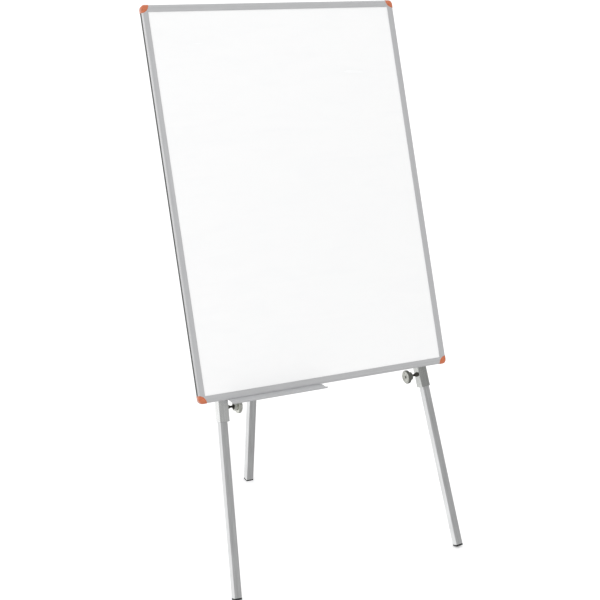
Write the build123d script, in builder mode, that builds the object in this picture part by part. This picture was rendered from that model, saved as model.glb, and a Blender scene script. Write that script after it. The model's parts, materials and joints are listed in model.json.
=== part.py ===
from build123d import *
from math import cos, radians, sin, tan
import os

os.makedirs("parts", exist_ok=True)

# Whiteboard on a folding three-legged stand, in millimetres, angles in degrees.
# X runs to the right of the board, Y runs away from the reader, Z is up.
# The origin is on the floor, under the middle of the whole easel.

# Stance
lean = 20.5
splay = 4.0
rear_open = 25.0
edge_height = 487.0

# Board and its aluminium frame
board_width = 740.0
board_height = 1020.0
frame_face = 18.0
frame_depth = 12.0
frame_wall = 1.4
frame_lip = 1.5
nose_width = 6.0
nose_drop = 2.0
corner_round = 11.0
corner_cut = 9.0

# Channel along the outside of the frame, which the pen tray hooks into
channel_front = 4.4
channel_back = 10.9
channel_depth = 4.0
channel_lip = 1.2
channel_mouth = 4.7

# Writing panel: enamelled sheet, core and back sheet in the frame's slot
front_sheet = 0.5
core = 6.2
rear_sheet = 0.3
slot_play = 0.2
panel_inset = 10.0
panel_play = 0.5

# Corner keys inside the frame and plastic caps over its corners
key_reach = 38.0
key_play = 0.1
key_front = 2.0
cap_wall = 0.8
cap_reach = 20.5
cap_chamfer = 2.4
cap_back_chamfer = 0.8

# Square tubes: a clamp screw pushes each leg against the far wall of its sleeve
sleeve_size = 27.0
sleeve_wall = 1.5
leg_size = 20.5
rear_leg_size = 22.5
leg_play = 0.1
leg_wall = 1.5
tube_round = 1.5
sleeve_below = 55.0
sleeve_short = 10.0
sleeve_inset = 71.0
leg_length = 900.0
rear_sleeve_length = 900.0

# Plastic plugs and feet
plug_play = 0.1
plug_length = 15.0
plug_head = 3.0
foot_head = 5.0
foot_plug = 18.0
sole_flat = 1.0

# Plates that join the board to the sleeves
bracket_width = 66.0
bracket_height = 13.0
bracket_thick = 2.0
bracket_inset = 2.0
bracket_screw_pitch = 48.0
bracket_screw = 3.0
bracket_screw_length = 9.0
bracket_head = 6.4
bracket_head_height = 2.0
screw_play = 0.05
hole_sides = 12
round_sides = 24

# Top rail and the rear leg's hinge
rail_drop = 53.0
rail_size = 25.0
hinge_plate = 3.0
hinge_plate_width = 66.0
hinge_screw_pitch = 52.0
hinge_screw = 5.0
hinge_screw_length = 12.0
hinge_screw_head = 8.0
hinge_screw_head_height = 3.5
hinge_reach = 16.0
ear_thick = 3.0
ear_radius = 11.0
ear_play = 1.0
washer_thick = 0.8
washer_radius = 8.0
bolt_radius = 4.0
bolt_play = 0.05
bush_radius = 6.5
bolt_head = 13.0
bolt_head_height = 5.3
nut_height = 5.6
nut_flange = 2.4
bolt_tail = 2.0
sleeve_over_pivot = 14.0
stop_play = 0.1

# Clamp screws that hold the telescopic legs
clamp_up = 36.5
nut_radius = 6.3
nut_length = 8.0
screw_radius = 3.0
thread_play = 0.05
pad_radius = 2.9
pad_length = 5.0
pad_play = 0.1
neck_length = 7.5
shoulder_radius = 9.5
shoulder_length = 4.5
spigot_radius = 4.0
spigot_length = 10.0
hub_radius = 11.0
hub_length = 6.5
groove_radius = 9.5
groove_length = 1.5
disc_radius = 18.5
disc_length = 9.5
disc_edge = 1.6
dish_radius = 13.5
dish_depth = 1.0

# Pen tray: a bent strip that hooks into the channel under the board
tray_inset = 80.0
tray_length = 268.0
tray_sheet = 1.2
tray_gap = 0.3
tray_tail = 11.5
tray_shelf = 32.0
tray_lip = 4.2
tray_bend = 1.5
hook_play = 0.4
hook_thick = 1.2
hook_neck = 1.6

# Planes and points that everything else is placed from
lean_sin, lean_cos = sin(radians(lean)), cos(radians(lean))
splay_sin, splay_cos = sin(radians(splay)), cos(radians(splay))
rear_tilt = rear_open - lean
rear_sin, rear_cos = sin(radians(rear_tilt)), cos(radians(rear_tilt))
half_leg = leg_size / 2
half_rear_leg = rear_leg_size / 2
sleeve_spread = board_width - 2 * sleeve_inset
sleeve_above = board_height - sleeve_short
rail_height = board_height - rail_drop
tray_left = tray_inset - board_width / 2
half_sleeve = sleeve_size / 2
leg_push = half_sleeve - sleeve_wall - half_leg - leg_play
rear_push = half_sleeve - sleeve_wall - half_rear_leg - leg_play
leg_depth = frame_depth + bracket_thick + half_sleeve
pivot_depth = leg_depth + rail_size / 2 + hinge_plate + hinge_reach

# How far a square-cut foot's centre stands above the floor
front_sole_rise = half_leg * (lean_sin + splay_sin * lean_cos) - sole_flat
rear_sole_rise = half_rear_leg * rear_sin - sole_flat

# Lengths from the board's lower edge, and from the pivot, to the feet
front_drop = (edge_height - leg_depth * lean_sin - front_sole_rise) / lean_cos + leg_push * splay_sin
pivot_rise = edge_height - pivot_depth * lean_sin + rail_height * lean_cos
rear_drop = (pivot_rise - rear_push * rear_sin - rear_sole_rise) / rear_cos

# The lower front edge of the board lies where the feet straddle the origin
front_reach = leg_depth * lean_cos - (front_drop - leg_push * splay_sin) * lean_sin
front_reach = front_reach - half_leg * (lean_cos + splay_sin * lean_sin)
pivot_back = pivot_depth * lean_cos + rail_height * lean_sin
rear_reach = pivot_back + rear_drop * rear_sin + (half_rear_leg - rear_push) * rear_cos
edge_back = -(front_reach + rear_reach) / 2

board = Plane(origin=(0, edge_back, edge_height), x_dir=(1, 0, 0), z_dir=(0, -lean_cos, lean_sin))
up, front, back = board.y_dir, board.z_dir, -board.z_dir
right = board.x_dir
pivot = board.from_local_coords((0, rail_height, -pivot_depth))
panel_depth = front_sheet + core + rear_sheet


def leg_plane(side, along, push=0.0):
    """Plane across a front sleeve, along it from the board's lower edge; push moves it outward, to a leg."""
    start = board.from_local_coords((side * sleeve_spread / 2, 0, -leg_depth))
    axis = up * splay_cos - right * side * splay_sin
    across = right * splay_cos + up * side * splay_sin
    return Plane(origin=start + axis * along + across * side * push, x_dir=across, z_dir=axis)


def rear_plane(below, push=0.0):
    """Plane across the rear sleeve, below the pivot; push moves it toward the board, to the leg."""
    axis = Vector(0, -rear_sin, rear_cos)
    away = Vector(0, rear_cos, rear_sin)
    return Plane(origin=pivot - axis * below - away * push, x_dir=(1, 0, 0), z_dir=axis)


def clamp_plane(tube, toward, along):
    """Plane on a sleeve's face, looking out of it, at a height along the tube's own plane."""
    return Plane(origin=tube.origin + tube.z_dir * along + toward * half_sleeve, x_dir=tube.z_dir, z_dir=toward)


def keep(block, name):
    """Labels a finished piece and writes its file."""
    block.part.label = name
    export_step(block.part, f"parts/{name}.step")


def square_tube(plane, size, wall, length):
    """Square tube with rounded corners, drawn from the plane along its normal."""
    with BuildPart() as tube:
        with BuildSketch(plane):
            RectangleRounded(size, size, tube_round)
            Rectangle(size - 2 * wall, size - 2 * wall, mode=Mode.SUBTRACT)
        extrude(amount=length)
    return tube


def end_plug(plane, size, wall, head, length):
    """Square plug: a head outside the tube on the plane's near side, and a stem inside it."""
    with BuildPart() as plug:
        with BuildSketch(plane) as rim:
            Rectangle(size, size)
            chamfer(rim.vertices(), length=tube_round / 2)
        extrude(amount=-head)
        with BuildSketch(plane):
            inner = size - 2 * wall - 2 * plug_play
            Rectangle(inner, inner)
            Rectangle(inner - 4 * wall, inner - 4 * wall, mode=Mode.SUBTRACT)
        extrude(amount=length)
    return plug


def hole(radius):
    """Cuts a many-sided hole that clears a round shaft of the radius."""
    RegularPolygon(radius, hole_sides, major_radius=False, mode=Mode.SUBTRACT)


# Fixing points of the four brackets: where each sleeve crosses the top and bottom members
bracket_rows = (bracket_inset + bracket_height / 2, board_height - bracket_inset - bracket_height / 2)
chamber_front = channel_depth + frame_wall
chamber_back = panel_inset - frame_wall
screw_line = (chamber_front + chamber_back) / 2
screw_rows = (screw_line, board_height - screw_line)


def sleeve_x(side, height):
    """Sideways place of a sleeve's centre line at a height on the board."""
    return side * (sleeve_spread / 2 - height * tan(radians(splay)))


def bracket_points(row):
    """Screw centres of the two brackets on one row, in the board's plane."""
    half = bracket_screw_pitch / 2
    return [(sleeve_x(side, row) + shift, row) for side in (-1, 1) for shift in (-half, half)]


def outline_bar(start, inward, run, length):
    """Solid bar with the outside of one frame length, mitred and cut short under the corner caps."""
    with BuildPart() as bar:
        with BuildSketch(Plane(origin=start, x_dir=inward, z_dir=run)):
            Rectangle(frame_face, frame_depth, align=(Align.MIN, Align.MIN))
            with BuildLine():
                Polyline((nose_width, 0), (0, 0), (0, nose_drop))
                TangentArc((nose_width, 0), (0, nose_drop), tangent=(-1, 0))
            make_face(mode=Mode.SUBTRACT)
        extrude(amount=length)
        for corner, along in ((start, run), (start + run * length, run * -1)):
            split(bisect_by=Plane(origin=corner, z_dir=along - inward), keep=Keep.TOP)
            split(bisect_by=Plane(origin=corner + along * corner_cut, z_dir=along + inward), keep=Keep.TOP)
    return bar


def frame_member(start, inward, run, length):
    """One length of the frame's extrusion: its bar with the panel's slot, the channel and the chamber."""
    slot = panel_depth + slot_play
    channel = channel_back - channel_front
    mouth_front = channel_front + (channel - channel_mouth) / 2
    outline = outline_bar(start, inward, run, length)
    with BuildPart() as member:
        add(outline.part)
        with BuildSketch(Plane(origin=start, x_dir=inward, z_dir=run)):
            with Locations((panel_inset, frame_lip)):
                Rectangle(frame_face, slot, align=(Align.MIN, Align.MIN))
            with Locations((panel_inset, frame_lip + slot + frame_wall)):
                Rectangle(frame_face, frame_depth, align=(Align.MIN, Align.MIN))
            with Locations((channel_lip, channel_front)):
                Rectangle(channel_depth - channel_lip, channel, align=(Align.MIN, Align.MIN))
            with Locations((0, mouth_front)):
                Rectangle(channel_depth, channel_mouth, align=(Align.MIN, Align.MIN))
            with Locations((chamber_front, frame_wall)):
                chamber = chamber_back - chamber_front
                Rectangle(chamber, frame_depth - 2 * frame_wall, align=(Align.MIN, Align.MIN))
        extrude(amount=length, mode=Mode.SUBTRACT)
        for row in screw_rows:
            with BuildSketch(board.offset(-frame_depth)):
                with Locations(*bracket_points(row)):
                    RegularPolygon(bracket_screw / 2 + screw_play, hole_sides, major_radius=False)
            extrude(amount=frame_wall + screw_play, mode=Mode.SUBTRACT)
    return member


def corner_point(side, top):
    """Sharp outer front corner of the board."""
    return board.from_local_coords((side * board_width / 2, board_height * top, 0))


keep(frame_member(corner_point(1, 0), up, -right, board_width), "frame_bottom")
keep(frame_member(corner_point(-1, 1), -up, right, board_width), "frame_top")
keep(frame_member(corner_point(-1, 0), right, up, board_height), "frame_left")
keep(frame_member(corner_point(1, 1), -right, -up, board_height), "frame_right")

# Writing panel, from the front: enamelled sheet, core, back sheet
panel_width = board_width - 2 * (panel_inset + panel_play)
panel_height = board_height - 2 * (panel_inset + panel_play)
for name, depth, thick in (
    ("writing_surface", frame_lip, front_sheet),
    ("panel_core", frame_lip + front_sheet, core),
    ("back_sheet", frame_lip + front_sheet + core, rear_sheet),
):
    with BuildPart() as layer:
        with BuildSketch(board.offset(-depth)):
            with Locations((0, board_height / 2)):
                Rectangle(panel_width, panel_height)
        extrude(amount=-thick)
    keep(layer, name)

# Angle keys in the frame's chamber, which hold the mitres together
with BuildPart() as corner_keys:
    near = chamber_front + key_play
    far = chamber_back - key_play
    for side in (-1, 1):
        for top in (0, 1):
            rise = 1 - 2 * top
            x0 = side * board_width / 2
            y0 = top * board_height
            with BuildSketch(board.offset(-key_front)):
                with BuildLine():
                    Polyline(
                        (x0 - side * near, y0 + rise * near),
                        (x0 - side * key_reach, y0 + rise * near),
                        (x0 - side * key_reach, y0 + rise * far),
                        (x0 - side * far, y0 + rise * far),
                        (x0 - side * far, y0 + rise * key_reach),
                        (x0 - side * near, y0 + rise * key_reach),
                        close=True,
                    )
                make_face()
            extrude(amount=-(frame_depth - frame_wall - key_play - key_front))
keep(corner_keys, "corner_keys")

# Plastic caps, pressed over the mitred corners: one is drawn, the others mirror it
bottom_bar = outline_bar(corner_point(1, 0), up, -right, board_width)
left_bar = outline_bar(corner_point(-1, 0), right, up, board_height)
with BuildPart() as cap_form:
    with BuildSketch(board.offset(cap_wall)):
        with Locations((0, board_height / 2)):
            RectangleRounded(board_width + 2 * cap_wall, board_height + 2 * cap_wall, corner_round + cap_wall)
    extrude(amount=-(frame_depth + 2 * cap_wall))
    chamfer(cap_form.faces().sort_by(Axis((0, 0, 0), front))[-1].edges(), length=cap_chamfer)
    chamfer(cap_form.faces().sort_by(Axis((0, 0, 0), front))[0].edges(), length=cap_back_chamfer)
with BuildPart() as first_cap:
    with BuildSketch(board.offset(cap_wall)):
        with Locations((-board_width / 2, 0)):
            Circle(cap_reach)
    extrude(amount=-(frame_depth + 2 * cap_wall))
    add(cap_form.part, mode=Mode.INTERSECT)
    add(bottom_bar.part, mode=Mode.SUBTRACT)
    add(left_bar.part, mode=Mode.SUBTRACT)
middle_row = Plane(origin=board.from_local_coords((0, board_height / 2, 0)), x_dir=right, z_dir=up)
with BuildPart() as second_cap:
    mirror(first_cap.part, about=middle_row)
for side, side_name in ((-1, "left"), (1, "right")):
    for top_name, pattern in (("bottom", first_cap), ("top", second_cap)):
        with BuildPart() as cap:
            if side < 0:
                add(pattern.part)
            else:
                mirror(pattern.part, about=Plane.YZ)
        keep(cap, f"corner_cap_{top_name}_{side_name}")

# Sleeves of the front legs, with the hole for each clamp screw
sides = ((-1, "left"), (1, "right"))
sleeve_start = leg_plane(1, 0).origin
for side, side_name in sides:
    foot_end = leg_plane(side, -sleeve_below / splay_cos)
    inward = foot_end.x_dir * -side
    face = clamp_plane(foot_end, inward, clamp_up)
    tube = square_tube(foot_end, sleeve_size, sleeve_wall, (sleeve_above + sleeve_below) / splay_cos)
    with BuildPart() as sleeve:
        add(tube.part)
        with BuildSketch(face):
            RegularPolygon(screw_radius + thread_play, hole_sides, major_radius=False)
        extrude(amount=-2 * sleeve_wall, mode=Mode.SUBTRACT)
    keep(sleeve, f"{side_name}_sleeve")

with BuildPart() as sleeve_plugs:
    for side in (-1, 1):
        end = leg_plane(side, sleeve_above / splay_cos)
        down = Plane(origin=end.origin, x_dir=end.x_dir, z_dir=-end.z_dir)
        add(end_plug(down, sleeve_size, sleeve_wall, plug_head, plug_length).part)
keep(sleeve_plugs, "sleeve_plugs")

# Bracket plates welded across the sleeves and screwed to the back of the frame
with BuildPart() as board_brackets:
    for middle, row in zip(bracket_rows, screw_rows):
        with BuildSketch(board.offset(-frame_depth)):
            with Locations(*[(sleeve_x(side, row), middle) for side in (-1, 1)]):
                Rectangle(bracket_width, bracket_height)
            with Locations(*bracket_points(row)):
                hole(bracket_screw / 2 + screw_play)
        extrude(amount=-bracket_thick)
keep(board_brackets, "board_brackets")

with BuildPart() as bracket_screws:
    for row in screw_rows:
        for radius, amount in ((bracket_head / 2, -bracket_head_height), (bracket_screw / 2, bracket_screw_length)):
            with BuildSketch(board.offset(-frame_depth - bracket_thick)):
                with Locations(*bracket_points(row)):
                    RegularPolygon(radius, hole_sides)
            extrude(amount=amount)
keep(bracket_screws, "bracket_screws")

# Rail between the tops of the sleeves, its ends cut to meet them
rail_middle = board.from_local_coords((0, rail_height, -leg_depth))
hinge_face = board.offset(-leg_depth - rail_size / 2)
with BuildPart() as top_rail:
    with BuildSketch(Plane(origin=rail_middle - right * sleeve_spread / 2, x_dir=up, z_dir=right)):
        RectangleRounded(rail_size, rail_size, tube_round)
        Rectangle(rail_size - 2 * sleeve_wall, rail_size - 2 * sleeve_wall, mode=Mode.SUBTRACT)
    extrude(amount=sleeve_spread)
    for side in (-1, 1):
        across = leg_plane(side, 0)
        inner = across.origin - across.x_dir * side * half_sleeve
        split(bisect_by=Plane(origin=inner, z_dir=across.x_dir * -side), keep=Keep.TOP)
    with BuildSketch(hinge_face):
        with Locations((0, rail_height)):
            with GridLocations(hinge_screw_pitch, 0, 2, 1):
                RegularPolygon(hinge_screw / 2 + screw_play, hole_sides, major_radius=False)
    extrude(amount=sleeve_wall + screw_play, mode=Mode.SUBTRACT)
keep(top_rail, "top_rail")

# Hinge bracket: a plate with two round-ended ears that carry the bolt
ear_inner = half_sleeve + ear_play
ear_outer = ear_inner + ear_thick
with BuildPart() as hinge_bracket:
    with BuildSketch(hinge_face):
        with Locations((0, rail_height)):
            Rectangle(hinge_plate_width, rail_size)
            with GridLocations(hinge_screw_pitch, 0, 2, 1):
                hole(hinge_screw / 2 + screw_play)
    extrude(amount=-hinge_plate)
    for side in (-1, 1):
        root = pivot + right * side * ear_inner
        with BuildSketch(Plane(origin=root, x_dir=up, z_dir=right * side)):
            with BuildLine():
                reach = side * hinge_reach
                Line((-ear_radius, 0), (-ear_radius, reach))
                Line((-ear_radius, reach), (ear_radius, reach))
                Line((ear_radius, reach), (ear_radius, 0))
                ThreePointArc((ear_radius, 0), (0, -side * ear_radius), (-ear_radius, 0))
            make_face()
            hole(bolt_radius + bolt_play)
        extrude(amount=ear_thick)
keep(hinge_bracket, "hinge_bracket")

with BuildPart() as hinge_screws:
    with BuildSketch(hinge_face.offset(-hinge_plate)):
        with Locations((0, rail_height)):
            with GridLocations(hinge_screw_pitch, 0, 2, 1):
                RegularPolygon(hinge_screw_head / 2, 6, major_radius=False)
    extrude(amount=-hinge_screw_head_height)
    with BuildSketch(hinge_face.offset(-hinge_plate)):
        with Locations((0, rail_height)):
            with GridLocations(hinge_screw_pitch, 0, 2, 1):
                RegularPolygon(hinge_screw / 2, hole_sides)
    extrude(amount=hinge_screw_length)
keep(hinge_screws, "hinge_screws")

# Hinge bolt across the ears, with its nut, and a washer each side of the rear sleeve
bolt_plane = Plane(origin=pivot + right * ear_outer, x_dir=up, z_dir=right)
with BuildPart() as hinge_bolt:
    with BuildSketch(bolt_plane):
        RegularPolygon(bolt_head / 2, 6, major_radius=False)
    extrude(amount=bolt_head_height)
    with BuildSketch(bolt_plane):
        Circle(bolt_radius)
    extrude(amount=-(2 * ear_outer + nut_height + nut_flange + bolt_tail))
keep(hinge_bolt, "hinge_bolt")

with BuildPart() as hinge_nut:
    with BuildSketch(bolt_plane.offset(-2 * ear_outer)):
        RegularPolygon(bolt_head / 2, 6, major_radius=False)
        hole(bolt_radius + bolt_play)
    extrude(amount=-nut_height)
    with BuildSketch(bolt_plane.offset(-2 * ear_outer - nut_height)):
        RegularPolygon(bolt_head / 2, 2 * hole_sides)
        hole(bolt_radius + bolt_play)
    extrude(amount=-nut_flange)
keep(hinge_nut, "hinge_nut")

with BuildPart() as hinge_washers:
    for side in (-1, 1):
        with BuildSketch(Plane(origin=pivot + right * side * ear_inner, x_dir=up, z_dir=right * -side)):
            RegularPolygon(washer_radius, 2 * hole_sides)
            hole(bolt_radius + bolt_play)
        extrude(amount=washer_thick)
keep(hinge_washers, "hinge_washers")

# Rear sleeve, cut at its top where it bears on the hinge plate when the leg is open
rear_top = rear_plane(-sleeve_over_pivot)
rear_foot_end = rear_plane(rear_sleeve_length)
rear_face = clamp_plane(rear_foot_end, rear_foot_end.y_dir, clamp_up)
rear_tube = square_tube(rear_foot_end, sleeve_size, sleeve_wall, rear_sleeve_length + sleeve_over_pivot)
with BuildPart() as rear_sleeve:
    add(rear_tube.part)
    stop = board.offset(-(leg_depth + rail_size / 2 + hinge_plate + stop_play))
    split(bisect_by=stop, keep=Keep.BOTTOM)
    with BuildSketch(Plane(origin=pivot, x_dir=up, z_dir=right)):
        RegularPolygon(bush_radius + bolt_play, hole_sides, major_radius=False)
    extrude(amount=sleeve_size, both=True, mode=Mode.SUBTRACT)
    with BuildSketch(rear_face):
        RegularPolygon(screw_radius + thread_play, hole_sides, major_radius=False)
    extrude(amount=-2 * sleeve_wall, mode=Mode.SUBTRACT)
keep(rear_sleeve, "rear_sleeve")

with BuildPart() as pivot_bush:
    with BuildSketch(Plane(origin=pivot, x_dir=up, z_dir=right)):
        Circle(bush_radius)
        hole(bolt_radius + bolt_play)
    extrude(amount=half_sleeve, both=True)
keep(pivot_bush, "pivot_bush")


def leg_set(name, sole, size):
    """Inner tube and foot of one leg, from the plane of its square-cut sole."""
    tube_end = sole.offset(foot_head)
    keep(square_tube(tube_end, size, leg_wall, leg_length), f"{name}_leg_tube")
    plug = end_plug(tube_end, size, leg_wall, foot_head, foot_plug)
    with BuildPart() as foot:
        add(plug.part)
        split(bisect_by=Plane.XY, keep=Keep.TOP)
    keep(foot, f"{name}_foot")


for side, side_name in sides:
    leg_set(side_name, leg_plane(side, -front_drop / splay_cos, leg_push), leg_size)
leg_set("rear", rear_plane(rear_drop, rear_push), rear_leg_size)


def clamp_set(name, face, size):
    """Nut, thrust pad, screw and knob that clamp a leg of the given size, on the plane of the sleeve's face."""
    pad_tip = pad_play + size + leg_play + sleeve_wall - sleeve_size
    screw_tip = pad_tip + pad_length
    shoulder = nut_length + neck_length
    hub = shoulder + shoulder_length
    disc = hub + hub_length + groove_length
    face_end = disc + disc_length

    with BuildPart() as nut:
        with BuildSketch(face):
            Circle(nut_radius)
            hole(screw_radius + thread_play)
        extrude(amount=nut_length)
    keep(nut, f"{name}_clamp_nut")

    with BuildPart() as pad:
        with BuildSketch(face.offset(pad_tip)):
            RegularPolygon(pad_radius, hole_sides)
        extrude(amount=pad_length)
    keep(pad, f"{name}_thrust_pad")

    with BuildPart() as screw:
        with BuildSketch(face.offset(screw_tip)):
            Circle(screw_radius)
        extrude(amount=shoulder - screw_tip)
        with Locations(face.offset(shoulder)):
            Cone(screw_radius, shoulder_radius, shoulder_length, align=(Align.CENTER, Align.CENTER, Align.MIN))
        with BuildSketch(face.offset(hub)):
            RegularPolygon(spigot_radius, hole_sides)
        extrude(amount=spigot_length)
    keep(screw, f"{name}_clamp_screw")

    with BuildPart() as knob:
        with BuildSketch(face.offset(disc)):
            RegularPolygon(disc_radius, round_sides)
        extrude(amount=disc_length)
        chamfer(knob.faces().filter_by(face).edges(), length=disc_edge)
        with BuildSketch(face.offset(hub + hub_length)):
            RegularPolygon(groove_radius, round_sides)
        extrude(amount=groove_length)
        with BuildSketch(face.offset(hub)):
            RegularPolygon(hub_radius, round_sides)
        extrude(amount=hub_length)
        with BuildSketch(face.offset(face_end)):
            RegularPolygon(dish_radius, round_sides)
        extrude(amount=-dish_depth, taper=45, mode=Mode.SUBTRACT)
        with BuildSketch(face.offset(hub)):
            RegularPolygon(spigot_radius, hole_sides)
        extrude(amount=spigot_length, mode=Mode.SUBTRACT)
    keep(knob, f"{name}_knob")


for side, side_name in sides:
    foot_end = leg_plane(side, -sleeve_below / splay_cos)
    clamp_set(side_name, clamp_plane(foot_end, foot_end.x_dir * -side, clamp_up), leg_size)
clamp_set("rear", rear_face, rear_leg_size)

# Pen tray, drawn across the board and run along the channel of the bottom member
tray_plane = Plane(origin=board.from_local_coords((tray_left, 0, 0)), x_dir=(0, 1, 0), z_dir=(1, 0, 0))


def tray_point(depth, height):
    """Point of the tray's section that lies at a depth and height on the board, in the section's plane."""
    return (depth * lean_cos + height * lean_sin, height * lean_cos - depth * lean_sin)


with BuildPart() as pen_tray:
    tail = tray_point(tray_tail, -tray_gap)
    bend = tray_point(-tray_bend, -tray_gap)
    lip = (bend[0] - tray_shelf, bend[1])
    tip = (lip[0], lip[1] + tray_lip)
    with BuildSketch(tray_plane):
        with BuildLine():
            FilletPolyline(tail, bend, lip, tip, radius=tray_bend)
            offset(amount=tray_sheet, side=Side.LEFT)
        make_face()
    extrude(amount=tray_length)
    hook_middle = (channel_front + channel_back) / 2
    hook_rise = channel_lip + tray_gap
    hook_width = channel_back - channel_front - 2 * hook_play
    hook_plane = Plane(origin=board.from_local_coords((tray_left, 0, 0)), x_dir=back, z_dir=right)
    with BuildSketch(hook_plane):
        with Locations((hook_middle, -tray_gap - tray_sheet / 2)):
            Rectangle(hook_neck, hook_rise + tray_gap + tray_sheet / 2, align=(Align.CENTER, Align.MIN))
        with Locations((hook_middle, hook_rise)):
            Rectangle(hook_width, hook_thick, align=(Align.CENTER, Align.MIN))
    extrude(amount=tray_length)
keep(pen_tray, "pen_tray")

front_sole = leg_plane(-1, -front_drop / splay_cos, leg_push).origin
print("board edge at y", round(edge_back, 2), "pivot", pivot, "front drop", round(front_drop, 2))
print("rear drop", round(rear_drop, 2), "front sole", front_sole, "rear sole", rear_plane(rear_drop, rear_push).origin)
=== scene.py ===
import json
import math
import random
import bpy
import bmesh
from mathutils import Euler, Matrix, Vector


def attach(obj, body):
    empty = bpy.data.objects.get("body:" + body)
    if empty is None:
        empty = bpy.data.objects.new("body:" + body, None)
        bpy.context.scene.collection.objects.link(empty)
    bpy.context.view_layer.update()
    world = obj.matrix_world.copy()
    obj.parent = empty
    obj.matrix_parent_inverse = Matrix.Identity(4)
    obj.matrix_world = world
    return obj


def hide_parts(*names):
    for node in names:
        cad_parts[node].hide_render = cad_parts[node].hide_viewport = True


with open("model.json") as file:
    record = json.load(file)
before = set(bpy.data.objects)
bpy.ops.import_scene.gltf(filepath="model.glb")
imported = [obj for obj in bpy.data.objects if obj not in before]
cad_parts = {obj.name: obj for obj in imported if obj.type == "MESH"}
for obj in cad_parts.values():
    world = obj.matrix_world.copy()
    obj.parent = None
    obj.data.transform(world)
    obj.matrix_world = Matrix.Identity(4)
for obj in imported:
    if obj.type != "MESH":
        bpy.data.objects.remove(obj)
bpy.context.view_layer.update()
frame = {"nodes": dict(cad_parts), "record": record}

nodes = frame["nodes"]
mm = 0.001

# how the board and its legs stand; lengths in mm
stance = {
    "lean": math.radians(20.5),
    "splay": math.radians(4.0),
    "rearTilt": math.radians(4.5),
    "edge": Vector((0, -0.175559, 0.487)),  # middle of the board's lower front edge, in metres
    "sleeveSpread": 598,  # between the front sleeves' centre lines at that edge
    "sleeveSize": 27,
    "boardWidth": 740,
    "boardHeight": 1020,
    "boardDepth": 12,
    "frameFace": 18,
    "bracketPlate": 2.0,  # between the frame's back and the sleeves
}

view = {
    "place": (-1.54321, -2.98402, 1.67766),
    "yaw": 27.983,
    "pitch": 17.425,
    "roll": 0.957,
    "focal": 1291.1,  # in pixels
    "centre": (312.94, 315.54),
    "frame": 600,
    "sensor": 36,
}

print("camera")
camera = bpy.data.objects.new("camera", bpy.data.cameras.new("camera"))
bpy.context.scene.collection.objects.link(camera)
aim = Euler((math.radians(90 - view["pitch"]), 0, -math.radians(view["yaw"]))).to_matrix()
aim = aim @ Matrix.Rotation(math.radians(view["roll"]), 3, "Z")
camera.matrix_world = Matrix.Translation(view["place"]) @ aim.to_4x4()
camera.data.sensor_width = view["sensor"]
camera.data.lens = view["focal"] * view["sensor"] / view["frame"]
camera.data.shift_x = (view["frame"] / 2 - view["centre"][0]) / view["frame"]
camera.data.shift_y = (view["centre"][1] - view["frame"] / 2) / view["frame"]
camera.data.clip_end = 50
bpy.context.scene.camera = camera
bpy.context.scene.view_settings.view_transform = "Standard"


def standOn(origin, zAxis, xAxis):
    # matrix of a place whose z and x axes point as given
    z = Vector(zAxis).normalized()
    y = z.cross(Vector(xAxis)).normalized()
    x = y.cross(z)
    place = Matrix((x, y, z)).transposed().to_4x4()
    place.translation = origin
    return place


lean, splay, rearTilt = stance["lean"], stance["splay"], stance["rearTilt"]
boardRight = Vector((1, 0, 0))
boardUp = Vector((0, math.sin(lean), math.cos(lean)))
boardFront = Vector((0, -math.cos(lean), math.sin(lean)))
boardPlace = standOn(stance["edge"], boardFront, boardRight)
legUp = {side: boardUp * math.cos(splay) - boardRight * side * math.sin(splay) for side in (-1, 1)}
rearUp = Vector((0, -math.sin(rearTilt), math.cos(rearTilt)))


def onBoard(across, height, depth):
    # a point in mm across, up and behind the board's front
    return boardPlace @ (Vector((across, height, -depth)) * mm)


def sleeveLine(side, height):
    # how far across the board a front sleeve's centre line is at a height
    return side * (stance["sleeveSpread"] / 2 - height * math.tan(splay))


class Term:
    # a socket that can be written into sums and products
    def __init__(self, shading, socket):
        self.shading = shading
        self.socket = socket

    def maths(self, operation, *values):
        return self.shading.add("ShaderNodeMath", {"operation": operation}, dict(enumerate(values)))

    def atLeast(self, other):
        return self.maths("MAXIMUM", self, other)

    def __add__(self, other):
        return self.maths("ADD", self, other)

    __radd__ = __add__

    def __mul__(self, other):
        return self.maths("MULTIPLY", self, other)

    __rmul__ = __mul__

    def __sub__(self, other):
        return self.maths("SUBTRACT", self, other)

    def __rsub__(self, other):
        return self.maths("SUBTRACT", other, self)

    def __abs__(self):
        return self.maths("ABSOLUTE", self)

    def ramp(self, low, high):
        # 0 below low, 1 above high, smooth between
        sockets = {"Value": self, "From Min": low, "From Max": high}
        return self.shading.add("ShaderNodeMapRange", {"interpolation_type": "SMOOTHSTEP"}, sockets)


class Shading:
    # a node tree that is written as expressions
    def __init__(self, tree):
        self.tree = tree

    def add(self, kind, settings=None, sockets=None, out=0):
        node = self.tree.nodes.new(kind)
        for key, value in (settings or {}).items():
            setattr(node, key, value)
        for key, value in (sockets or {}).items():
            self.set(node.inputs[key], value)
        return Term(self, node.outputs[out])

    def set(self, socket, value):
        if isinstance(value, Term):
            self.tree.links.new(value.socket, socket)
        else:
            socket.default_value = value

    def ray(self, kind):
        return self.add("ShaderNodeLightPath", out=kind)

    def finishWith(self, surface):
        output = next(node for node in self.tree.nodes if node.type.startswith("OUTPUT"))
        self.set(output.inputs["Surface"], surface)


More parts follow.
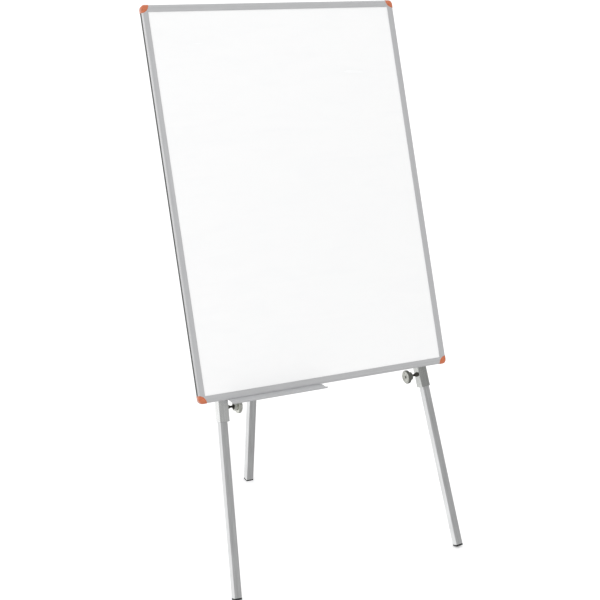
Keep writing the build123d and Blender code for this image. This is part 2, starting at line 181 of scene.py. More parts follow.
class Finish(Shading):
    # one material of the object
    def __init__(self, name):
        self.material = bpy.data.materials.new(name)
        self.material.use_nodes = True
        super().__init__(self.material.node_tree)
        self.shader = self.tree.nodes["Principled BSDF"]

    def surface(self, **values):
        for key, value in values.items():
            self.set(self.shader.inputs[key.replace("_", " ")], value)

    def along(self, place, sizes):
        # object coordinates turned to a piece's own axes, measured in features of these sizes in mm
        spot = self.add("ShaderNodeTexCoord", out=3)
        sockets = {"Vector": spot, "Location": place.translation, "Rotation": place.to_euler()}
        sockets["Scale"] = [size * mm for size in sizes]
        return self.add("ShaderNodeMapping", {"vector_type": "TEXTURE"}, sockets)

    def noise(self, coords, detail=3.0, rough=0.5, warp=0.0):
        sockets = {"Vector": coords, "Scale": 1.0, "Detail": detail, "Roughness": rough}
        sockets["Distortion"] = warp
        return self.add("ShaderNodeTexNoise", None, sockets)

    def cells(self, coords, out=0, feature="F1"):
        sockets = {"Vector": coords, "Scale": 1.0}
        return self.add("ShaderNodeTexVoronoi", {"feature": feature}, sockets, out)

    def blend(self, share, first, second):
        # mixes two colours; 0 keeps the first
        first, second = ((*c, 1) if isinstance(c, tuple) else c for c in (first, second))
        return self.add("ShaderNodeMix", {"data_type": "RGBA"}, {0: share, 6: first, 7: second}, 2)

    def bump(self, height, strength, depth, under=None):
        # depth in mm
        sockets = {"Strength": strength, "Distance": depth * mm, "Height": height}
        if under:
            sockets["Normal"] = under
        return self.add("ShaderNodeBump", None, sockets)


def tint(colour, amount):
    return tuple(value * amount for value in colour)


print("finishes")
upright = Matrix.Identity(4)
legPlace = {side: standOn((0, 0, 0), legUp[side], boardRight) for side in (-1, 1)}
rearPlace = standOn((0, 0, 0), rearUp, boardRight)


def enamelSheet():
    # gloss white enamel with a faint haze of wiped marks
    finish = Finish("whiteEnamel")
    haze = finish.noise(finish.along(boardPlace, (240, 70, 100)), 4, 0.6, 1.2).ramp(0.42, 0.72)
    wipes = finish.noise(finish.along(boardPlace, (160, 9, 100)), 3, 0.5, 0.8).ramp(0.5, 0.75)
    peel = finish.noise(finish.along(boardPlace, (2.4, 2.4, 2.4)), 2)
    darkening = haze * 0.5 + wipes * 0.3
    finish.surface(
        Base_Color=finish.blend(darkening, (0.965, 0.967, 0.967), (0.945, 0.949, 0.953)),
        Roughness=haze * 0.08 + wipes * 0.05 + 0.16,
        Coat_Weight=0.3,
        Coat_Roughness=0.1,
        Normal=finish.bump(peel, 0.12, 0.02),
    )
    return finish


def drawnMetal(name, place, run, base, shine, shadeMask=None):
    # satin metal with die lines along its run: 0, 1 or 2 for the axis of its place
    finish = Finish(name)

    def stretched(length, width):
        return finish.along(place, [length if axis == run else width for axis in range(3)])

    dieLines = finish.noise(stretched(shine["streak"] * 3, shine["line"]), 4, 0.6)
    bands = finish.noise(stretched(shine["streak"], shine["band"]), 3, 0.55)
    cloud = finish.noise(finish.along(place, (60, 60, 60)), 3, 0.55, 0.4)
    specks = finish.noise(finish.along(place, (3.1, 3.1, 3.1)), 3, 0.6).ramp(0.66, 0.74)
    scratches = finish.noise(stretched(26, 0.5), 2, 0.4).ramp(0.69, 0.73)
    tone = dieLines * 0.5 + bands * 0.35 + cloud * 0.15
    bare = finish.blend(tone.ramp(0.3, 0.7), tint(base, shine["dark"]), tint(base, shine["light"]))
    metal = shine["metal"]
    # painted shade from the shade mask darkens the colour and takes away the metal
    if shadeMask:
        paintedShade = shadeMask(finish, cloud)
        bare = finish.blend(paintedShade, bare, tint(base, 0.1))
        metal = metal * (1 - paintedShade)
    marked = finish.blend(specks * 0.25, bare, tint(base, 0.6))
    finish.surface(
        Base_Color=finish.blend(scratches * 0.3, marked, tint(base, 1.12)),
        Metallic=metal,
        Roughness=dieLines * 0.16 + cloud * 0.08 + (shine["rough"] - 0.12) - scratches * 0.06,
        Normal=finish.bump(dieLines, shine["grain"], 0.03, finish.bump(cloud, 0.06, 0.2)),
    )
    return finish


# where the painted shade falls in the frame's channel
channel = {
    "depth": 4.0,  # mm in from the frame's outer side
    "front": 3.2,  # mm behind the frame's front
    "back": 11.4,
    "fade": 0.2,
    "line": 0.16,  # strength of the painted shadow line along the panel
}


def channelShade(axis, middle, outside, paintedShade=1.0, under=0.0):
    # painted shade on the outer side and in the channel, a painted shadow line along the panel, and
    # darker towards the lower edge
    fade = channel["fade"]
    lip = outside - stance["frameFace"]
    floor = outside - channel["depth"]

    def spread(finish, cloud):
        spot = {"Vector": finish.along(boardPlace, (1, 1, 1))}
        across, front = (finish.add("ShaderNodeSeparateXYZ", None, spot, out) for out in (axis, 2))
        distance = abs(across - middle)
        behind = 1 - front.ramp(-channel["front"] - fade, -channel["front"])
        ahead = front.ramp(-channel["back"], fade - channel["back"])
        hollow = distance.ramp(floor - fade, floor) * behind * ahead
        # painted shade on the outer side and deep in the channel
        side = distance.ramp(outside - 0.25, outside - 0.02).atLeast(hollow)
        # a painted shadow line where the frame's lip meets the panel
        line = (1 - (distance - lip).ramp(1.0, 2.2)) * channel["line"]
        # darker towards the bottom member's lower edge
        edge = (1 - across.ramp(1, 6)) * under
        return side * (cloud * 0.2 + 0.8) * paintedShade + line + edge

    return spread


def shineOf(line, band, streak, dark, light, metal, rough, grain):
    # die lines' and bands' width and their length in mm, their two shades, and the surface
    return {
        "line": line, "band": band, "streak": streak, "dark": dark, "light": light,
        "metal": metal, "rough": rough, "grain": grain,
    }


frameShine = shineOf(0.8, 6, 320, 0.93, 1.06, 0.75, 0.42, 0.25)
tubeShine = shineOf(1.3, 6, 70, 0.84, 1.14, 1.0, 0.4, 0.2)
sleeveShine = shineOf(1.6, 8, 60, 0.87, 1.1, 1.0, 0.22, 0.2)
trayShine = shineOf(0.9, 5, 300, 0.95, 1.05, 0.4, 0.5, 0.25)
frameColour = (0.82, 0.825, 0.835)
tubeColour = (0.82, 0.83, 0.83)
sleeveColour = (0.9, 0.91, 0.9)
shadedSleeve = (0.7, 0.715, 0.695)  # the right sleeve's colour, darker: painted shade


def mouldedPlastic(name, place, base, rough, grain, gloss=None):
    # moulded plastic with a fine texture, flow marks and paler rubbed spots
    finish = Finish(name)
    texture = finish.noise(finish.along(place, (0.35, 0.35, 0.35)), 3, 0.6)
    flow = finish.noise(finish.along(place, (14, 5, 14)), 3, 0.5, 0.6)
    rubbed = finish.noise(finish.along(place, (6, 6, 6)), 4, 0.65).ramp(0.58, 0.75)
    body = finish.blend(flow.ramp(0.3, 0.7), tint(base, 0.9), tint(base, 1.08))
    finish.surface(
        Base_Color=finish.blend(rubbed * 0.25, body, tuple(0.8 * c + 0.1 for c in base)),
        Roughness=texture * 0.12 + flow * 0.08 + (rough - 0.1) + rubbed * 0.08,
        Normal=finish.bump(texture, grain, 0.02),
    )
    if gloss:
        finish.surface(IOR=1.6, Coat_IOR=1.6, Coat_Weight=gloss, Coat_Roughness=0.12)
    return finish


def platedMetal(name, base, second, rough, metal=1.0, spot=4.0):
    # plated or blackened small parts: cloudy film, fine grain, darker pits
    finish = Finish(name)
    film = finish.noise(finish.along(upright, (spot, spot, spot)), 4, 0.6, 0.5)
    grain = finish.noise(finish.along(upright, (0.4, 0.4, 0.4)), 3, 0.6)
    pits = finish.noise(finish.along(upright, (0.9, 0.9, 0.9)), 2, 0.5).ramp(0.68, 0.74)
    coat = finish.blend(film.ramp(0.35, 0.65), base, second)
    finish.surface(
        Base_Color=finish.blend(pits * 0.5, coat, tint(base, 0.5)),
        Metallic=metal,
        Roughness=film * 0.15 + grain * 0.1 + (rough - 0.12) + pits * 0.1,
        Normal=finish.bump(grain, 0.15, 0.02),
    )
    return finish


def backSheet():
    # thin galvanised sheet: soft crystals and rolling lines
    finish = Finish("galvanisedSheet")
    crystals = finish.cells(finish.along(boardPlace, (9, 9, 9)), 1)
    shade = finish.add("ShaderNodeSeparateColor", None, {"Color": crystals})
    rolling = finish.noise(finish.along(boardPlace, (3, 700, 50)), 3, 0.6)
    stains = finish.noise(finish.along(boardPlace, (120, 160, 50)), 4, 0.6, 0.8)
    tone = shade * 0.45 + rolling * 0.35 + stains * 0.3
    finish.surface(
        Base_Color=finish.blend(tone.ramp(0.25, 0.85), (0.5, 0.51, 0.52), (0.64, 0.65, 0.65)),
        Metallic=0.8,
        Roughness=shade * 0.12 + rolling * 0.08 + 0.34,
        Normal=finish.bump(rolling, 0.08, 0.05),
    )
    return finish


def honeycombCore():
    # brown card cells, seen only at the panel's cut edges
    finish = Finish("honeycombCard")
    walls = finish.cells(finish.along(boardPlace, (7, 7, 7)), 0, "DISTANCE_TO_EDGE").ramp(0.03, 0.1)
    fibres = finish.noise(finish.along(boardPlace, (1.5, 0.3, 0.3)), 4, 0.7)
    brown = finish.blend(fibres.ramp(0.3, 0.7), (0.42, 0.29, 0.17), (0.55, 0.4, 0.25))
    finish.surface(
        Base_Color=finish.blend(walls, (0.6, 0.45, 0.29), brown),
        Roughness=fibres * 0.1 + 0.8,
        Normal=finish.bump(walls, 0.4, 0.3),
    )
    return finish


halfWidth, halfHeight = stance["boardWidth"] / 2, stance["boardHeight"] / 2
# painted shade on the frame: faint on the top and bottom members, full on the sides
acrossShade = channelShade(1, halfHeight, halfHeight, 0.1, 0.09)
upShade = channelShade(0, 0, halfWidth)
finishes = {
    "enamel": enamelSheet(),
    "core": honeycombCore(),
    "back": backSheet(),
    "frameAcross": drawnMetal("anodisedAcross", boardPlace, 0, frameColour, frameShine, acrossShade),
    "frameUp": drawnMetal("anodisedUp", boardPlace, 1, frameColour, frameShine, upShade),
    "key": drawnMetal("millAluminium", boardPlace, 0, (0.6, 0.6, 0.62), trayShine),
    "tray": drawnMetal("anodisedTray", boardPlace, 0, (0.6, 0.605, 0.615), trayShine),
    "rail": drawnMetal("silverRail", boardPlace, 0, tubeColour, tubeShine),
    "bracket": drawnMetal("silverPlate", boardPlace, 0, (0.62, 0.63, 0.63), tubeShine),
    "leftSleeve": drawnMetal("silverLeftSleeve", legPlace[-1], 2, sleeveColour, sleeveShine),
    "rightSleeve": drawnMetal("silverRightSleeve", legPlace[1], 2, shadedSleeve, sleeveShine),
    "rearSleeve": drawnMetal("silverRearSleeve", rearPlace, 2, sleeveColour, sleeveShine),
    "leftLeg": drawnMetal("silverLeftLeg", legPlace[-1], 2, tubeColour, tubeShine),
    "rightLeg": drawnMetal("silverRightLeg", legPlace[1], 2, tubeColour, tubeShine),
    "rearLeg": drawnMetal("silverRearLeg", rearPlace, 2, tubeColour, tubeShine),
    "cap": mouldedPlastic("orangePlastic", boardPlace, (0.61, 0.15, 0.05), 0.3, 0.08, 1.0),
    "blackPlastic": mouldedPlastic("blackPlastic", boardPlace, (0.022, 0.022, 0.023), 0.45, 0.2),
    "foot": mouldedPlastic("footPlastic", upright, (0.022, 0.022, 0.023), 0.55, 0.3),
    "bush": mouldedPlastic("nylon", upright, (0.78, 0.77, 0.7), 0.4, 0.1),
    "blackSteel": platedMetal(
        "blackenedSteel", (0.045, 0.044, 0.038), (0.08, 0.078, 0.066), 0.42, 0.6
    ),
    "zinc": platedMetal("brightZinc", (0.6, 0.6, 0.58), (0.66, 0.64, 0.56), 0.3),
    "brass": platedMetal("turnedBrass", (0.6, 0.42, 0.16), (0.68, 0.5, 0.22), 0.3),
    "weld": platedMetal("paintedWeld", (0.5, 0.5, 0.5), (0.62, 0.62, 0.62), 0.45, 0.6, 2.0),
}
wearOf = {
    "writing_surface": "enamel",
    "panel_core": "core",
    "back_sheet": "back",
    "frame_top": "frameAcross",
    "frame_bottom": "frameAcross",
    "frame_left": "frameUp",
    "frame_right": "frameUp",
    "corner_keys": "key",
    "pen_tray": "tray",
    "top_rail": "rail",
    "left_sleeve": "leftSleeve",
    "right_sleeve": "rightSleeve",
    "rear_sleeve": "rearSleeve",
    "left_leg_tube": "leftLeg",
    "right_leg_tube": "rightLeg",
    "rear_leg_tube": "rearLeg",
    "pivot_bush": "bush",
}
slotFinish = {
    "cap": "cap",
    "bracket": "bracket",
    "zinc": "zinc",
    "black_plastic": "blackPlastic",
    "foot": "foot",
    "black_steel": "blackSteel",
    "brass": "brass",
    "knob": "zinc",  # hidden by the turned knobs
}
behaviour = frame["record"]["behaviour"]
slotOf = {part["node"]: part["material_slot"] for part in frame["record"]["subparts"]}
bodyOf = {node: body for body, members in behaviour["bodies"].items() for node in members}


def finishOf(node):
    return finishes[wearOf[node] if node in wearOf else slotFinish[slotOf[node]]]


for name, node in nodes.items():
    node.data.materials.clear()
    node.data.materials.append(finishOf(name).material)


def addPiece(name, mesh, finish, body, replaced=(), sharp=35):
    # makes an object of the mesh, shaded smooth up to the sharp angle
    bmesh.ops.recalc_face_normals(mesh, faces=mesh.faces)
    for face in mesh.faces:
        face.smooth = True
    data = bpy.data.meshes.new(name)
    mesh.to_mesh(data)
    mesh.free()
    data.set_sharp_from_angle(angle=math.radians(sharp))
    data.materials.append(finish.material)
    piece = bpy.data.objects.new(name, data)
    bpy.context.scene.collection.objects.link(piece)
    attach(piece, body)
    if replaced:
        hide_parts(*replaced)
    return piece


def bevelSharp(mesh, width, segments=3, angle=30, keep=None):
    # rounds the edges that turn by more than the angle
    limit = math.radians(angle)
    edges = [e for e in mesh.edges if len(e.link_faces) == 2 and e.calc_face_angle(0) > limit]
    if keep:
        edges = [e for e in edges if keep(e)]
    bmesh.ops.bevel(
        mesh, geom=edges, offset=width * mm, segments=segments, profile=0.5,
        affect="EDGES", material=-1, clamp_overlap=True,
    )


def softened(node, width, segments=3, angle=30):
    # a copy of a node with its sharp edges rounded
    mesh = bmesh.new()
    mesh.from_mesh(nodes[node].data)
    bmesh.ops.remove_doubles(mesh, verts=mesh.verts, dist=0.005 * mm)
    flat = math.radians(1)
    bmesh.ops.dissolve_limit(mesh, angle_limit=flat, verts=mesh.verts, edges=mesh.edges)
    bevelSharp(mesh, width, segments, angle)
    return addPiece(f"{node}_dressed", mesh, finishOf(node), bodyOf[node], (node,))


def spun(profile, steps=64, closed=False):
    # a turned piece: radius and height in mm, about the local z axis
    mesh = bmesh.new()
    points = [mesh.verts.new((radius * mm, 0, height * mm)) for radius, height in profile]
    pairs = list(zip(points, points[1:])) + ([(points[-1], points[0])] if closed else [])
    lines = [mesh.edges.new(pair) for pair in pairs]
    bmesh.ops.spin(
        mesh, geom=points + lines, cent=(0, 0, 0), axis=(0, 0, 1), dvec=(0, 0, 0),
        angle=2 * math.pi, steps=steps, use_merge=True,
    )
    bmesh.ops.remove_doubles(mesh, verts=mesh.verts, dist=1e-6)
    bmesh.ops.recalc_face_normals(mesh, faces=mesh.faces)
    return mesh


def collar(inner, outer, start, end, steps):
    # a turned ring with a square section
    return spun([(inner, start), (outer, start), (outer, end), (inner, end)], steps, True)


def vertsIn(geometry):
    return [item for item in geometry if isinstance(item, bmesh.types.BMVert)]


def pourInto(mesh, part):
    # moves one shape into another
    data = bpy.data.meshes.new("part")
    part.to_mesh(data)
    part.free()
    mesh.from_mesh(data)
    bpy.data.meshes.remove(data)


def addThread(mesh, radius, depth, pitch, start, length, steps=20):
    # a raised thread round the local z axis, all sizes in mm
    core = radius - depth
    shape = ((core, 0.0), (radius, 0.36), (radius, 0.54), (core, 0.9))
    points = [mesh.verts.new((r * mm, 0, (start + z * pitch) * mm)) for r, z in shape]
    lines = [mesh.edges.new((points[i], points[(i + 1) % 4])) for i in range(4)]
    turns = int(length / pitch) - 1
    bmesh.ops.spin(
        mesh, geom=points + lines, cent=(0, 0, 0), axis=(0, 0, 1), dvec=(0, 0, pitch * mm / steps),
        angle=2 * math.pi * turns, steps=steps * turns,
    )
    ends = [e for e in mesh.edges if len(e.link_faces) == 1]
    bmesh.ops.holes_fill(mesh, edges=ends, sides=0)


print("clamps")
clamp = {
    "nutRadius": 6.3,
    "nutLength": 8.0,
    "nutRim": 2.2,
    "nutTip": 3.9,
    "screwRadius": 3.0,
    "pitch": 1.0,
    "padEnd": {"left": 0.2, "right": 0.2, "rear": 2.2},
    "padLength": 5.0,
    "padRadius": 2.9,
    "shoulder": 15.5,
    "coneRadius": 9.5,
    "hub": 20.0,
    "hubStart": 18.9,
    "hubRadius": 11.0,
    "hubEnd": 26.5,
    "grooveRadius": 9.5,
    "disc": 28.0,
    "discRadius": 18.5,
    "discEnd": 37.5,
    "edge": 1.6,
    "knurls": 60,
    "knurlDepth": 0.55,
    "dishRadius": 14.0,
    "dishDepth": 1.0,
    "ringRadius": 6.5,
    "dimpleRadius": 3.2,
    "pockets": 12,
    "pocketInner": 8.4,
    "pocketOuter": 11.6,
    "pocketDepth": 0.7,
    "pocketShare": 0.6,
    "faceDepth": 2.2,
    "faceRadius": 17.4,
    "metal": (0.36, 0.365, 0.335),
    "wornMetal": (0.56, 0.565, 0.525),
    # colour of the painted shade on the knobs
    "darkening": (0.07, 0.07, 0.058),
    # how much painted shade falls on each knob's knurled sides
    "sideShadow": {"left": 0.05, "right": 0.6, "rear": 0.3},
    # each knob's painted light level: lit and shaded copies of one metal
    "paintedLight": {"left": 1.6, "right": 1.15, "rear": 1.3},
}


def knobFinish(leg, place):
    # cast nickel at each knob's own painted light level: pale on the dished face, painted shade on
    # the knurled sides and in the pockets
    c = clamp
    finish = Finish(f"{leg}CastNickel")
    spot = finish.along(place, (1, 1, 1))
    height = finish.add("ShaderNodeSeparateXYZ", None, {"Vector": spot}, 2)
    flat = finish.add("ShaderNodeVectorMath", {"operation": "MULTIPLY"}, {0: spot, 1: (1, 1, 0)})
    radius = finish.add("ShaderNodeVectorMath", {"operation": "LENGTH"}, {0: flat}, 1)
    faceBack = c["discEnd"] - c["faceDepth"]
    inner = 1 - radius.ramp(c["faceRadius"] - 0.5, c["faceRadius"])
    front = height.ramp(faceBack - 0.2, faceBack) * inner
    floor = c["discEnd"] - c["dishDepth"]
    pockets = front * (1 - height.ramp(floor - 0.4, floor - 0.1))
    film = finish.noise(finish.along(place, (6, 6, 6)), 4, 0.6, 0.5)
    grain = finish.noise(finish.along(place, (0.5, 0.5, 0.5)), 3, 0.6)
    # painted light: the knob's metal made paler or darker to its own level
    paintedLight = c["paintedLight"][leg]
    cast, worn = (tint(c[kind], paintedLight) for kind in ("metal", "wornMetal"))
    metal = finish.blend(film.ramp(0.35, 0.65), cast, worn)
    # painted shade on the knurled sides, strongest on the right knob
    sideShaded = finish.blend((1 - front) * c["sideShadow"][leg] * (film * 0.5 + 0.75), metal, c["darkening"])
    finish.surface(
        # painted shade darkens the pockets
        Base_Color=finish.blend(pockets * 0.9, sideShaded, c["darkening"]),
        Metallic=0.9,
        Roughness=film * 0.15 + grain * 0.1 + 0.2 + pockets * 0.2,
        Normal=finish.bump(grain, 0.2, 0.03),
    )
    return finish


def knobShape():
    # a hub, a neck and a knurled disc with a dished face
    c = clamp
    floor = c["discEnd"] - c["dishDepth"]
    profile = [
        (0, c["hubStart"]),
        (c["hubRadius"], c["hubStart"]),
        (c["hubRadius"], c["hubEnd"]),
        (c["grooveRadius"], c["hubEnd"]),
        (c["grooveRadius"], c["disc"]),
        (c["discRadius"] - c["edge"], c["disc"]),
        (c["discRadius"], c["disc"] + c["edge"]),
        (c["discRadius"], c["discEnd"] - c["edge"]),
        (c["discRadius"] - c["edge"], c["discEnd"]),
        (c["dishRadius"], c["discEnd"]),
        (c["dishRadius"] - 1.2, floor),
        (c["pocketOuter"], floor),
        (c["pocketInner"], floor),
        (c["ringRadius"] + 0.9, floor),
        (c["ringRadius"] + 0.4, floor + 0.6),
        (c["ringRadius"] - 0.6, floor + 0.6),
        (c["dimpleRadius"], floor - 0.6),
        (0, floor - 1.0),
    ]
    mesh = spun(profile, 2 * c["knurls"])

    def inPocket(face):
        spot = face.calc_center_median()
        ring = c["pocketInner"] * mm < spot.xy.length < c["pocketOuter"] * mm
        share = math.atan2(spot.y, spot.x) / (2 * math.pi) * c["pockets"] % 1
        return ring and abs(spot.z - floor * mm) < 1e-6 and share < c["pocketShare"]

    pockets = [face for face in mesh.faces if inPocket(face)]
    sunk = bmesh.ops.extrude_face_region(mesh, geom=pockets)["geom"]
    bmesh.ops.translate(mesh, vec=(0, 0, -c["pocketDepth"] * mm), verts=vertsIn(sunk))
    rim = [v for v in mesh.verts if v.co.xy.length > (c["discRadius"] - 0.05) * mm]
    turn = math.pi / c["knurls"]
    grooves = [v for v in rim if round(math.atan2(v.co.y, v.co.x) / turn) % 2]
    inward = 1 - c["knurlDepth"] / c["discRadius"]
    bmesh.ops.scale(mesh, vec=(inward, inward, 1), verts=grooves)
    smoothRings = (c["hubRadius"] + 0.2) * mm
    bevelSharp(mesh, 0.35, 2, 30, lambda e: all(v.co.xy.length < smoothRings for v in e.verts))
    return mesh


def screwShape(leg):
    # a threaded rod that widens to a cone under the knob
    c = clamp
    start = c["padEnd"][leg]
    core = c["screwRadius"] - 0.45
    profile = [
        (0, start),
        (core - 0.5, start),
        (core, start + 0.5),
        (core, c["shoulder"] - 0.6),
        (c["screwRadius"] + 0.4, c["shoulder"] + 0.1),
        (c["coneRadius"], c["hub"] - 0.5),
        (c["coneRadius"], c["hub"]),
        (0, c["hub"]),
    ]
    mesh = spun(profile, 48)
    addThread(mesh, c["screwRadius"], 0.5, c["pitch"], start + 0.4, c["shoulder"] - start - 0.6)
    return mesh


def nutShape():
    c = clamp
    outer, inner, length = c["nutRadius"], c["screwRadius"] + 0.05, c["nutLength"]
    profile = [
        (inner, 0),
        (outer, 0),
        (outer, c["nutRim"]),
        (c["nutTip"], length),
        (inner + 0.3, length),
        (inner, length - 0.3),
    ]
    mesh = spun(profile, 48, True)
    bevelSharp(mesh, 0.2, 2, 30)
    return mesh


def padShape(leg):
    top = clamp["padEnd"][leg]
    tip = top - clamp["padLength"]
    side = clamp["padRadius"]
    profile = [
        (0, tip),
        (side - 0.6, tip),
        (side, tip + 0.6),
        (side, top - 0.3),
        (side - 0.3, top),
        (0, top),
    ]
    return spun(profile, 32)


joints = {joint["name"]: joint for joint in behaviour["joints"]}
for leg in ("left", "right", "rear"):
    joint = joints[f"{leg}_knob_turn"]
    place = standOn(joint["pos_m"], joint["axis"], rearUp if leg == "rear" else legUp[-1])
    for kind, mesh in (
        ("knob", knobShape()),
        ("clamp_screw", screwShape(leg)),
        ("clamp_nut", nutShape()),
        ("thrust_pad", padShape(leg)),
    ):
        node = f"{leg}_{kind}"
        mesh.transform(place)
        finish = knobFinish(leg, place) if kind == "knob" else finishOf(node)
        addPiece(f"{node}_turned", mesh, finish, bodyOf[node], (node,))

print("caps, feet and plugs")
for end in ("top", "bottom"):
    for side in ("left", "right"):
        softened(f"corner_cap_{end}_{side}", 2.0, 5, 24)
for leg in ("left", "right", "rear"):
    softened(f"{leg}_foot", 0.6, 3)
softened("sleeve_plugs", 0.7, 3)

print("hinge")
rounding = {"hinge_bracket": 0.5, "hinge_screws": 0.3, "hinge_bolt": 0.4, "hinge_nut": 0.35}
for node, width in rounding.items():
    softened(node, width, 2, 25)
softened("board_brackets", 0.35, 2)

hinge = {
    "pivot": Vector((0, 0.218355, 1.3721)),  # in metres
    "earInner": 14.5,
    "washerRadius": 8.0,
    "washerThick": 0.8,
    "boltRadius": 4.0,
}
washers = bmesh.new()
for side in (-1, 1):
    inner = hinge["boltRadius"] + 0.05
    washer = collar(inner, hinge["washerRadius"], 0, hinge["washerThick"], 48)
    bevelSharp(washer, 0.15, 2)
    seat = hinge["pivot"] + boardRight * side * hinge["earInner"] * mm
    washer.transform(standOn(seat, boardRight * -side, boardUp))
    pourInto(washers, washer)
addPiece("hinge_washers_turned", washers, finishes["zinc"], "board", ("hinge_washers",))

# nylon ring in the nut, mm from the hinge's middle
lockRing = {"inner": 4.05, "outer": 5.5, "start": 24.6, "end": 25.9}
ring = collar(lockRing["inner"], lockRing["outer"], lockRing["start"], lockRing["end"], 32)
bevelSharp(ring, 0.25, 2)
ring.transform(standOn(hinge["pivot"], -boardRight, boardUp))
addPiece("hinge_nut_lock_ring", ring, finishes["bush"], "board")

print("bracket screws")
panHead = {
    "radius": 3.2,
    "height": 2.0,
    "round": 1.2,
    "slot": 0.45,  # half the recess's width
    "reach": 1.9,
    "recess": 1.1,
    "shank": 1.5,
    "length": 9.0,
    "rows": (7.0, 1013.0),  # heights on the board
    "shift": 24,  # each side of a sleeve's centre line
}


def crossHeadScrew():
    # pan head with a cross recess, standing on the local z axis
    p = panHead
    mesh = bmesh.new()
    bmesh.ops.create_circle(mesh, cap_ends=True, segments=24, radius=p["radius"] * mm)
    lifted = bmesh.ops.extrude_face_region(mesh, geom=mesh.faces[:], use_keep_orig=True)["geom"]
    raised = vertsIn(lifted)
    bmesh.ops.translate(mesh, vec=(0, 0, p["height"] * mm), verts=raised)
    top = [e for e in mesh.edges if all(v in raised for v in e.verts)]
    bmesh.ops.bevel(
        mesh, geom=top, offset=p["round"] * mm, segments=4, profile=0.5, affect="EDGES", material=-1
    )
    for cut in (p["slot"], p["reach"]):
        for normal in ((1, 0, 0), (0, 1, 0)):
            for side in (-1, 1):
                spot = Vector(normal) * side * cut * mm
                whole = mesh.verts[:] + mesh.edges[:] + mesh.faces[:]
                bmesh.ops.bisect_plane(mesh, geom=whole, plane_co=spot, plane_no=normal)

    def inCross(face):
        x, y, z = (abs(c) / mm for c in face.calc_center_median())
        narrow, wide = min(x, y), max(x, y)
        return z > p["height"] - 0.05 and narrow < p["slot"] and wide < p["reach"]

    recess = [face for face in mesh.faces if inCross(face)]
    sunk = bmesh.ops.extrude_face_region(mesh, geom=recess)["geom"]
    bmesh.ops.translate(mesh, vec=(0, 0, -p["recess"] * mm), verts=vertsIn(sunk))
    return mesh


def screwShank():
    side, start, end = panHead["shank"], -0.01, -panHead["length"]
    return spun([(0, start), (side, start), (side, end + 0.6), (side - 0.6, end), (0, end)], 16)


plateBack = stance["boardDepth"] + stance["bracketPlate"]
screws = bmesh.new()
for row in panHead["rows"]:
    for side in (-1, 1):
        for shift in (-panHead["shift"], panHead["shift"]):
            turn = random.Random(int(row) + side * 7 + shift).uniform(0, math.pi)
            seat = onBoard(sleeveLine(side, row) + shift, row, plateBack)
            place = standOn(seat, -boardFront, boardRight) @ Matrix.Rotation(turn, 4, "Z")
            for part in (crossHeadScrew(), screwShank()):
                part.transform(place)
                bmesh.ops.recalc_face_normals(part, faces=part.faces)
                pourInto(screws, part)
addPiece("bracket_screws_headed", screws, finishes["zinc"], "board", ("bracket_screws",))

print("welds")
bead = {
    "radius": 1.1,
    "end": 0.55,  # share of the radius at its two ends
    "step": 0.9,
    "ripple": 0.14,
    "chance": 0.06,
    "plateSeams": ((3.0, 14.0), (1006.0, 1009.6)),  # heights of the beads beside the sleeves
    "rail": 967.0,  # height of the rail's middle
    "railSide": 12.6,
    "railBack": 12.4,
    "railRun": 11,  # half the length of a bead on the rail
}


def addBead(mesh, start, end, seed):
    # a rippled weld bead between two points
    chance = random.Random(seed)
    run = end - start
    count = max(3, int(run.length / (bead["step"] * mm)))
    place = standOn(start, run, boardFront)
    radius = bead["radius"] * bead["end"] * mm
    ring = bmesh.ops.create_circle(mesh, cap_ends=True, segments=8, radius=radius, matrix=place)
    face = next(iter(ring["verts"][0].link_faces))
    middle = start
    for step in range(1, count + 1):
        grown = bmesh.ops.extrude_discrete_faces(mesh, faces=[face])["faces"]
        face = grown[0]
        verts = face.verts[:]
        bmesh.ops.translate(mesh, vec=run / count, verts=verts)
        middle = middle + run / count
        ripple = bead["ripple"] * (1 if step % 2 else -1)
        radius = bead["radius"] * mm * (1 + ripple + chance.uniform(-bead["chance"], bead["chance"]))
        if step == count:
            radius *= bead["end"]
        now = (verts[0].co - middle).length
        bmesh.ops.scale(mesh, vec=(radius / now,) * 3, space=Matrix.Translation(-middle), verts=verts)


halfTube = stance["sleeveSize"] / 2 / math.cos(splay)
railDepth = plateBack + stance["sleeveSize"] / 2


def besideSleeve(side, edge, height):
    return onBoard(sleeveLine(side, height) + edge * (halfTube + 0.2), height, plateBack + 0.2)


def railEnd(side, height, depth):
    return onBoard(sleeveLine(side, height) - side * halfTube, height, railDepth + depth)


beads = []
for low, high in bead["plateSeams"]:
    for side in (-1, 1):
        for edge in (-1, 1):
            beads.append((besideSleeve(side, edge, low), besideSleeve(side, edge, high)))
run = bead["railRun"]
for side in (-1, 1):
    for height in (bead["rail"] - bead["railSide"], bead["rail"] + bead["railSide"]):
        beads.append((railEnd(side, height, -run), railEnd(side, height, run)))
    beads.append([railEnd(side, bead["rail"] + height, bead["railBack"]) for height in (-run, run)])
welds = bmesh.new()
for seed, (start, end) in enumerate(beads, 1):
    addBead(welds, start, end, seed)
addPiece("frame_welds", welds, finishes["weld"], "board")

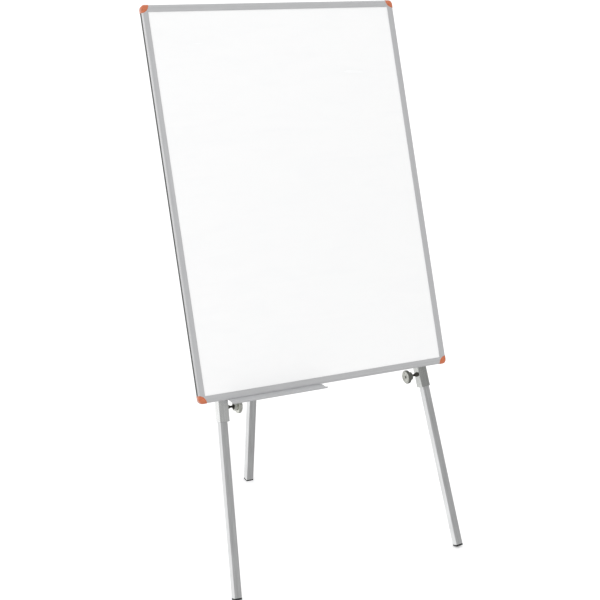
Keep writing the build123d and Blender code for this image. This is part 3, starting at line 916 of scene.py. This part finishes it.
print("floor and light")
studio = {
    "ambient": 1.01,  # world light on the object
    "key": 15.0,  # watts of the softbox
    "keySize": 2.4,
    "keyPlace": (-1.8, -2.6, 3.2),
    "keyBack": (-1.8, -2.4, 2.4),  # away from what it lights
    "floorSize": 30,
    "floorColour": (0.82, 0.82, 0.82, 1),
    "lift": 0.34,  # makes the floor white where nothing shades it
    "dark": 0.44,  # what metal reflects from in front of the board
    "bright": 1.0,  # and from behind and the left
    "window": 0.9,  # a bright softbox above the board's left side
    "patch": 0.2,  # a darker corner of the room to the right
    "below": 0.05,  # a little darker low down in front
}
mesh = bmesh.new()
bmesh.ops.create_grid(mesh, x_segments=1, y_segments=1, size=studio["floorSize"])
floorMesh = bpy.data.meshes.new("floor")
mesh.to_mesh(floorMesh)
mesh.free()
floor = bpy.data.objects.new("floor", floorMesh)
bpy.context.scene.collection.objects.link(floor)
paper = Finish("whitePaper")
paper.surface(Base_Color=studio["floorColour"], Roughness=0.9)
matt = Term(paper, paper.shader.outputs[0])
glow = paper.add("ShaderNodeEmission", None, {"Color": (1, 1, 1, 1), "Strength": studio["lift"]})
lifted = paper.add("ShaderNodeAddShader", None, {0: matt, 1: glow})
clear = paper.add("ShaderNodeBsdfTransparent")
seen = paper.ray("Is Camera Ray") + paper.ray("Is Transmission Ray")
shown = paper.add("ShaderNodeMixShader", None, {0: seen, 1: matt, 2: lifted})
mirrors = paper.ray("Is Glossy Ray")
paper.finishWith(paper.add("ShaderNodeMixShader", None, {0: mirrors, 1: shown, 2: clear}))
floor.data.materials.append(paper.material)

world = bpy.data.worlds.new("studio")
bpy.context.scene.world = world
world.use_nodes = True
room = Shading(world.node_tree)
direction = room.add("ShaderNodeTexCoord", out=0)


def toward(x, y, z):
    # how far a direction in the room lies toward this one
    way = Vector((x, y, z)).normalized()
    return room.add("ShaderNodeVectorMath", {"operation": "DOT_PRODUCT"}, {0: direction, 1: way}, 1)


contrast = studio["bright"] - studio["dark"]
mirrored = toward(-0.8, 0.7, -0.1).ramp(-0.55, 0.75) * contrast + studio["dark"]
mirrored = mirrored + toward(-0.3, -0.64, 0.71).ramp(0.93, 0.98) * studio["window"]
mirrored = mirrored - toward(0.52, -0.78, 0.36).ramp(0.985, 0.998) * studio["patch"]
mirrored = mirrored - toward(0, -0.6, -1).ramp(0.2, 0.9) * studio["below"]
glossy = room.ray("Is Glossy Ray")
seen = room.ray("Is Camera Ray") + room.ray("Is Transmission Ray")
strength = glossy * mirrored + seen + (1 - glossy - seen) * studio["ambient"]
sky = {"Color": (1, 1, 1, 1), "Strength": strength}
room.finishWith(room.add("ShaderNodeBackground", None, sky))

key = bpy.data.lights.new("softbox", "AREA")
key.shape = "SQUARE"
key.size = studio["keySize"]
key.energy = studio["key"]
softbox = bpy.data.objects.new("softbox", key)
bpy.context.scene.collection.objects.link(softbox)
softbox.visible_glossy = False  # metal sees the world's own softbox
softbox.matrix_world = standOn(studio["keyPlace"], studio["keyBack"], (1, -1, 0))
